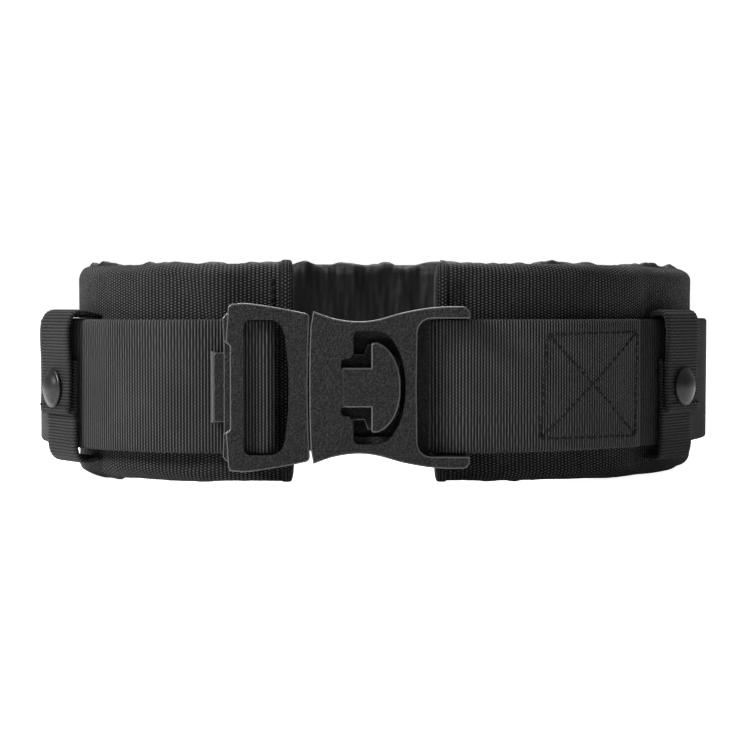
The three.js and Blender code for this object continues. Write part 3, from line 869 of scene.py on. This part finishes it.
tail_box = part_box("webbing_tail")
tail_last = near_index(smooth_run, tail_box[0][0], tail_box[1][1])
tail_y = front_run - LAYER
tail = [at_web(TAIL_START_X, tail_y), at_web(TAIL_START_X - 6 * MM, tail_y)]
tail += [Vector(p) for p in layer_line[5:tail_last] if p[0] < TAIL_START_X - 10 * MM]
o = sweep("strap_tail", tail, UP, WEB_WIDTH, WEB_THICK, strap_cloth, seed=4)
finish_piece(o, "belt", "webbing", "webbing_tail")

wrap_low, wrap_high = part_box("adjuster_webbing_wrap")
wrap_y = (wrap_low[1] + wrap_high[1]) / 2
wrap_r = (wrap_high[1] - wrap_low[1]) / 2 - WEB_THICK / 2
wrap_x = wrap_high[0] - WEB_THICK / 2 - wrap_r
wrap_start = wrap_low[0] + 0.5 * MM
wrap = [at_web(wrap_start, wrap_y - wrap_r)] + half_turn(wrap_x, wrap_y, wrap_r, -math.pi / 2)
wrap += [at_web(wrap_start, wrap_y + wrap_r)]
o = sweep("strap_wrap", wrap[::-1], UP, WEB_WIDTH - 0.4 * MM, 1.7 * MM, strap_cloth, seed=5, wave=0.02)
finish_piece(o, "male_half", "webbing", "adjuster_webbing_wrap")


# ---- the sewn end's box and cross ----
sewn, sewn_s = resample(back_run, 0.5 * MM)
sewn_out = -outwards(sewn)  # this layer runs anticlockwise


def sewn_surface(s, z):
    """The outer face of the sewn layer at a distance along it and a height, and its normal."""
    x = np.array([np.interp(s, sewn_s, sewn[:, k]) for k in range(2)])
    n = np.array([np.interp(s, sewn_s, sewn_out[:, k]) for k in range(2)])
    n /= np.linalg.norm(n)
    top = x + n * (WEB_THICK / 2 + 0.05 * MM)
    return Vector((top[0], top[1], z)), Vector((n[0], n[1], 0))


box_right = sewn_s[-1] - 2.4 * MM
box_left = box_right - 45 * MM
box_low = web_low + 4.5 * MM
box_high = web_high - 5.5 * MM
corners = [(box_left + 1.5 * MM, box_high), (box_right, box_high + 0.5 * MM),
           (box_right - 0.5 * MM, box_low), (box_left - 1.5 * MM, box_low + 0.5 * MM)]
box_places = []
for i in range(4):
    box_places += stitch_line(corners[i], corners[(i + 1) % 4], sewn_surface)
box_places += stitch_line(corners[0], corners[2], sewn_surface)
box_places += stitch_line(corners[1], corners[3], sewn_surface)
stitches("sewn_end_stitches", box_places)


# ---- keepers ----
def extent(name, origin, out):
    """How far a node reaches from an origin along a direction: least and most."""
    o = nodes[name]
    d = [(o.matrix_world @ v.co - origin).dot(out) for v in o.data.vertices]
    return min(d), max(d)


def rounded_line(points, count=14):
    """A smooth line through points of (outwards, up)."""
    p = np.array(points, float)
    out = []
    for i in range(len(p) - 1):
        p0, p1 = p[max(i - 1, 0)], p[i]
        p2, p3 = p[i + 1], p[min(i + 2, len(p) - 1)]
        out += [between(p0, p1, p2, p3, k / count) for k in range(count)]
    out.append(p[-1])
    return out


def keeper(side):
    """One keeper's flap and band. Returns where its snap goes."""
    joint = joints[side + "_flap_hinge"]
    along = Vector(joint["axis"]).normalized()
    out = UP.cross(along)
    if out.dot(Vector(joint["pos_m"])) < 0:
        out = -out
    root = Vector(joint["pos_m"])
    flap_name = side + "_keeper_flap"
    band_name = side + "_keeper_band"
    _, reach = extent(flap_name, root, out)
    _, rise = extent(band_name, root, out)
    rise = rise - KEEPER_THICK / 2 - 0.3 * MM
    hang = min(reach - KEEPER_THICK / 2, rise + KEEPER_THICK + 1.5 * MM)
    flap_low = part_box(flap_name)[0][2]
    band_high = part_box(band_name)[1][2]
    band_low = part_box(band_name)[0][2] + KEEPER_THICK / 2
    top = root.z

    def path(points):
        """A curve through points given as metres outwards from the hinge, and height."""
        return [root + out * x + UP * (z - root.z) for x, z in rounded_line(points)]

    flap_line = path([(-0.0022, top - 0.0008), (hang * 0.4, top + 0.0006), (hang * 0.78, top + 0.0001),
                      (hang * 0.97, top - 0.0040), (hang, top - 0.010), (hang - 0.0006, top - 0.024),
                      (hang, flap_low + 0.0012), (hang - 0.0004, flap_low + 0.0006)])
    flap = sweep(side + "_flap_webbing", flap_line, along, KEEPER_WIDTH, KEEPER_THICK,
                 keeper_cloth, seed=21)
    band_line = path([(-0.0022, band_low + 0.0006), (rise * 0.45, band_low - 0.0004),
                      (rise * 0.8, band_low + 0.0008), (rise * 0.98, band_low + 0.0048),
                      (rise, band_low + 0.011), (rise + 0.0003, band_low + 0.024),
                      (rise, band_high - 0.0004)])
    band = sweep(side + "_band_webbing", band_line, along, KEEPER_WIDTH - 0.4 * MM, KEEPER_THICK,
                 keeper_cloth, seed=23)
    finish_piece(flap, None, "webbing", flap_name)
    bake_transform(flap)
    finish_piece(band, "belt", "webbing", band_name)
    places = []
    for row in range(-4, 5):
        p = root + out * (hang + KEEPER_THICK / 2) + along * row * 2.7 * MM
        places.append((Vector((p.x, p.y, flap_low + 3.2 * MM)), along, out))
    stitches(side + "_flap_stitches", places, side + "_flap")
    return root, out, hang, rise


def lathe(name, centre, axis, profile, material, segments):
    """A turned piece from (radius, along the axis) in millimetres."""
    side = axis.cross(UP).normalized()
    up = side.cross(axis).normalized()
    rows = []
    for r, y in profile:
        ring = []
        for k in range(segments):
            a = 2 * math.pi * k / segments
            ring.append(list(centre + axis * y * MM + (side * math.cos(a) + up * math.sin(a)) * r * MM))
        rows.append(ring)
    rows = np.array(rows)
    return grid(name, rows, np.arange(len(rows)), np.arange(segments), material, closed=True)


# The snap's turned pieces, as (radius, outwards from the webbing's face) in millimetres.
SNAP_CAP = [(0.01, 3.16), (1.4, 3.12), (2.8, 2.95), (4.2, 2.55), (5.3, 2.0), (6.1, 1.35), (6.4, 1.2),
            (6.8, 1.15), (7.3, 0.9), (7.45, 0.5), (7.35, 0.1), (6.9, -0.2), (0.01, -0.2)]
SNAP_SOCKET = [(0.01, -0.1), (2.6, -0.1), (2.7, -0.7), (3.2, -0.9), (4.9, -0.7), (5.4, -0.3),
               (5.4, 0.1), (0.01, 0.1)]
SNAP_BALL = [(0.01, 1.0), (2.1, 0.95), (2.3, 0.8), (2.1, 0.6), (2.2, 0.25), (4.3, 0.1),
             (4.2, -0.1), (0.01, -0.1)]
SNAP_POST = [(0.01, -0.7), (3.6, -0.6), (4.1, -0.3), (4.1, 0.1), (0.01, 0.1)]


def studs(side, root, out, hang, rise):
    """The snap: cap and socket on the flap's two faces, ball and post on the band's."""
    mid = root + UP * (box_mid(side + "_snap_cap").z - root.z)
    half = KEEPER_THICK / 2

    def turned(name, distance, profile, body, node, segments=40):
        o = lathe(side + name, mid + out * distance, out, profile, metal, segments)
        finish_piece(o, body, "snap_metal", side + node)

    turned("_stud_cap", hang + half, SNAP_CAP, side + "_flap", "_snap_cap", 64)
    turned("_stud_socket", hang - half, SNAP_SOCKET, side + "_flap", "_snap_socket")
    turned("_stud_ball", rise + half, SNAP_BALL, "belt", "_snap_stud")
    turned("_stud_post", rise - half, SNAP_POST, "belt", "_snap_post")


for side in ("left", "right"):
    studs(side, *keeper(side))


# ---- rear loops ----
def rear_loop(side):
    """A loop of thin webbing round the strap, on the outer face of the pad."""
    name = "rear_loop_" + side
    mid = box_mid(name)
    i = near_index(smooth_run, mid.x, mid.y)
    at = Vector(smooth_run[i])
    t = Vector(smooth_run[i + 1] - smooth_run[i - 1]).normalized()
    out = Vector((-t.y, t.x, 0))
    a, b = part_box(name)
    _, reach = extent(name, at, out)
    outer = reach - KEEPER_THICK / 2
    low_z, high_z = a[2] + KEEPER_THICK / 2, b[2] - KEEPER_THICK / 2
    points = [(-0.0068, high_z), (outer - 0.0022, high_z - 0.0004), (outer - 0.0003, high_z - 0.0036),
              (outer, web_mid + 0.012), (outer, web_mid - 0.012), (outer - 0.0003, low_z + 0.0036),
              (outer - 0.0022, low_z + 0.0004), (-0.0068, low_z)]
    line = [at + out * x + UP * (z - at.z) for x, z in rounded_line(points)]
    o = sweep("rear_webbing_loop_" + side, line, t, KEEPER_WIDTH, KEEPER_THICK, strap_cloth, seed=31)
    finish_piece(o, "belt", "webbing", name)


for side in ("left", "right"):
    rear_loop(side)


# ---- buckle ----
def moulded(name):
    """A CAD piece shown with its own surface, softened edges and the moulded finish, with its painted
    glints and painted edge highlight.
    """
    o = nodes[name]
    o.data.materials.clear()
    o.data.materials.append(plastic)
    o.hide_render = False
    soft_edges(o, 0.25)
    o.modifiers.new("even shading", "WEIGHTED_NORMAL")


for part in ("male_frame", "female_housing", "release_tab", "latch_tongue"):
    moulded(part)


def tab_hinge():
    """The thin neck that joins the tab to the housing."""
    a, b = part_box("release_tab")
    half = 6.9 * MM
    mid = (a[2] + b[2]) / 2
    x, front = a[0], a[1]
    back = front + 2.2 * MM
    front_face = front + 0.02 * MM
    rows = []
    for i in range(13):
        px = x + (-0.9 + 1.8 * i / 12) * MM
        rows.append([(px, front_face, mid - half), (px, front_face, mid + half),
                     (px, back, mid + half), (px, back, mid - half)])
    o = grid("tab_neck", np.array(rows), np.arange(13), np.arange(4), plastic, closed=True, caps=True)
    o.data.polygons.foreach_set("use_smooth", [False] * len(o.data.polygons))
    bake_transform(o)


tab_hinge()


def slot_wall():
    """The housing's inner wall, in shadow behind the slot, and the lips above and below the webbing:
    dark plastic put there as painted shade, to darken the slot.
    """
    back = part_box("male_frame")[1][1]
    web_side = strap_turn - 0.2 * MM
    left = web_side - 7 * MM
    half = WEB_WIDTH / 2
    front = back - 1.4 * MM
    ledge_right = right_end[0][0] - 0.1 * MM
    ledge_back = front_run + 1.9 * MM
    pieces = [(left, web_side + 0.3 * MM, front, back, -half - 2 * MM, half + 2 * MM)]
    for low_z, high_z in ((half + 0.15 * MM, half + 2 * MM), (-half - 2 * MM, -half - 0.15 * MM)):
        pieces.append((left, ledge_right + 5 * MM, front, back, low_z, high_z))
        pieces.append((left, ledge_right, back - 0.2 * MM, ledge_back, low_z, high_z))
    pieces.append((left, ledge_right, ledge_back - 0.7 * MM, ledge_back,
                   -half - 2 * MM, -half + 1.3 * MM))
    verts, faces = [], []
    for x0, x1, y0, y1, z0, z1 in pieces:
        first = len(verts)
        verts += [(x, y, web_mid + z) for x in (x0, x1) for y in (y0, y1) for z in (z0, z1)]
        sides = [(0, 1, 3, 2), (4, 6, 7, 5), (0, 4, 5, 1), (2, 3, 7, 6), (0, 2, 6, 4), (1, 5, 7, 3)]
        faces += [tuple(first + k for k in side) for side in sides]
    o = add_mesh("housing_wall_and_slot_shade", verts, faces, plastic)
    soft_edges(o, 0.1)
    finish_piece(o, "belt", "buckle_plastic")


slot_wall()


# ---- studio ----
def studio():
    pale, g, bsdf = node_material("floor")
    bsdf.inputs["Base Color"].default_value = grey(0.9, NEUTRAL)
    bsdf.inputs["Roughness"].default_value = 0.9
    bsdf.inputs["Emission Color"].default_value = (1, 1, 1, 1)
    seen = g.new("ShaderNodeLightPath").outputs["Is Camera Ray"]
    g.put(bsdf.inputs["Emission Strength"], g.math("MULTIPLY_ADD", seen, 0.88, 0.06))
    s = 40.0
    floor = add_mesh("floor", [(-s, -s, 0), (s, -s, 0), (s, s, 0), (-s, s, 0)], [(0, 1, 2, 3)], pale)
    floor.location.z = -0.4 * MM
    world = bpy.data.worlds.new("studio")
    world.use_nodes = True
    background = next(n for n in world.node_tree.nodes if n.type == "BACKGROUND")
    background.inputs["Color"].default_value = (1, 1, 1, 1)
    g = Graph(world.node_tree)
    place = g.new("ShaderNodeTexCoord")
    parts = g.new("ShaderNodeSeparateXYZ")
    g.link(place.outputs["Generated"], parts.inputs[0])
    behind = g.math("MULTIPLY_ADD", parts.outputs[1], 0.5, 0.5)
    above = g.math("MAXIMUM", parts.outputs[2], 0)
    room = g.math("MULTIPLY_ADD", behind, 0.2, 0.02)
    room = g.math("MULTIPLY_ADD", above, 0.28, room)
    seen = g.new("ShaderNodeLightPath").outputs["Is Camera Ray"]
    g.put(background.inputs["Strength"], g.math("MAXIMUM", room, g.math("MULTIPLY", seen, 1.02)))
    bpy.context.scene.world = world
    lights = [
        ("key", (-1.1, -0.8, 0.9), 0.35, 32),
        ("fill", (1.2, -1.2, 0.5), 0.5, 0.4),
        ("rim", (0.0, 0.9, 1.3), 0.7, 12),
        ("overhead", (-0.5, -0.1, 1.5), 0.8, 12),
    ]
    for name, at, size, power in lights:
        data = bpy.data.lights.new(name, "AREA")
        data.size = size
        data.energy = power
        o = add_object(name, data)
        o.location = at
        aim = Vector((0, 0, 0.04)) - Vector(at)
        o.rotation_euler = aim.to_track_quat("-Z", "Y").to_euler()
    bpy.context.scene.view_settings.view_transform = "Standard"


def camera():
    data = bpy.data.cameras.new("camera")
    data.sensor_width = 36
    data.lens = 93.3
    data.clip_start = 0.01
    o = add_object("camera", data)
    o.location = (0, low.y - 0.700, 0.0654)
    o.rotation_euler = (math.radians(90 - 1.97), 0, 0)
    bpy.context.scene.camera = o


studio()
camera()
